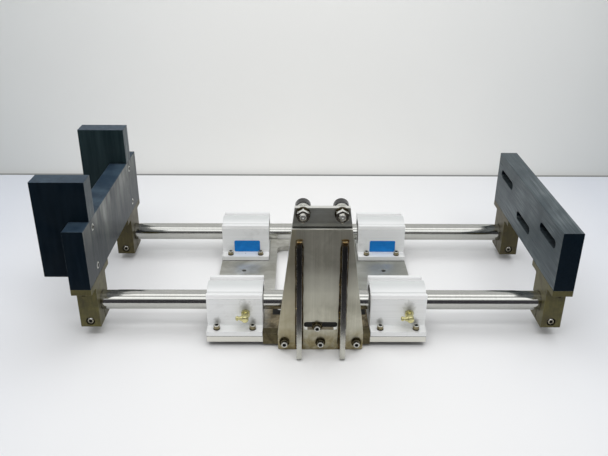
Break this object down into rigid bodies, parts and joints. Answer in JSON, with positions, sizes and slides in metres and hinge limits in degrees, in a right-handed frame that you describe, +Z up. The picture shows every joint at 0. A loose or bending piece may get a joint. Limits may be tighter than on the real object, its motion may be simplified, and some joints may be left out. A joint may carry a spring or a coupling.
{
  "type": "linear guide",
  "caption": "Linear guide: pillow blocks on a windowed base plate carry a sliding frame of shafts and plastic end plates; a tapered front bracket holds cam-follower rollers.",
  "frame": {"origin": "centre of the base plate's mounting holes, on the base plate's underside", "axes": "+X along the shafts towards the slotted end plate, +Y away from the bracket, +Z up"},
  "size_m": [0.6629, 0.3189, 0.2143],
  "materials": {
    "shaft_steel": "ground and polished",
    "block_aluminium": "satin extruded",
    "support_bronze": "dull olive-bronze coating",
    "plate_plastic": "sawn dark grey plastic",
    "base_metal": "stained mill finish",
    "bar_steel": "dull and stained",
    "weld_metal": "heat tinted weld",
    "bracket_steel": "brushed stainless",
    "roller_plate_steel": "dark brushed",
    "roller_steel": "dark ground steel",
    "bearing_steel": "ground",
    "screw_steel": "stainless",
    "dark_nut": "black oxide",
    "fitting_brass": "dull",
    "seal_rubber": "black",
    "cage_plastic": "natural moulded"
  },
  "bodies": {
    "carriage": {"ball_cage_front_left": "cage_plastic", "ball_cage_front_right": "cage_plastic", "ball_cage_rear_left": "cage_plastic", "ball_cage_rear_right": "cage_plastic", "bar_weld": "weld_metal", "base_plate": "base_metal", "bearing_sleeve_front_left": "bearing_steel", "bearing_sleeve_front_right": "bearing_steel", "bearing_sleeve_rear_left": "bearing_steel", "bearing_sleeve_rear_right": "bearing_steel", "block_lock_washers": "screw_steel", "block_screws": "screw_steel", "bracket_flat_washers": "screw_steel", "bracket_lock_washers": "screw_steel", "bracket_plate": "bracket_steel", "bracket_rib_left": "bracket_steel", "bracket_rib_right": "bracket_steel", "bracket_screws": "screw_steel", "grease_elbows": "fitting_brass", "grease_nipples": "fitting_brass", "mounting_bar": "bar_steel", "pillow_block_front_left": "block_aluminium", "pillow_block_front_right": "block_aluminium", "pillow_block_rear_left": "block_aluminium", "pillow_block_rear_right": "block_aluminium", "rib_welds": "weld_metal", "roller_lock_washers": "screw_steel", "roller_needles": "bearing_steel", "roller_nuts": "dark_nut", "roller_plate": "roller_plate_steel", "roller_plate_weld": "weld_metal", "roller_studs": "screw_steel", "shaft_seals": "seal_rubber", "slot_nut": "screw_steel", "snap_rings": "bearing_steel"},
    "shaft_frame": {"shaft_front": "shaft_steel", "shaft_rear": "shaft_steel", "shaft_support_front_left": "support_bronze", "shaft_support_front_right": "support_bronze", "shaft_support_rear_left": "support_bronze", "shaft_support_rear_right": "support_bronze", "clamp_screws": "screw_steel", "flange_screws": "screw_steel", "end_plate_right": "plate_plastic", "cross_plate_left": "plate_plastic", "finger_front": "plate_plastic", "finger_rear": "plate_plastic", "finger_screws": "screw_steel"},
    "left_roller": {"roller_left": "roller_steel"},
    "right_roller": {"roller_right": "roller_steel"}
  },
  "joints": [
    {"name": "frame_slide", "type": "slide", "parent": "carriage", "child": "shaft_frame", "axis": [1, 0, 0], "range_m": [-0.1516, 0.1383]},
    {"name": "left_roller_spin", "type": "hinge", "parent": "carriage", "child": "left_roller", "pos_m": [-0.0181, -0.12498, 0.1811], "axis": [0, 1, 0], "continuous": true},
    {"name": "right_roller_spin", "type": "hinge", "parent": "carriage", "child": "right_roller", "pos_m": [0.02762, -0.12498, 0.1811], "axis": [0, 1, 0], "continuous": true}
  ]
}
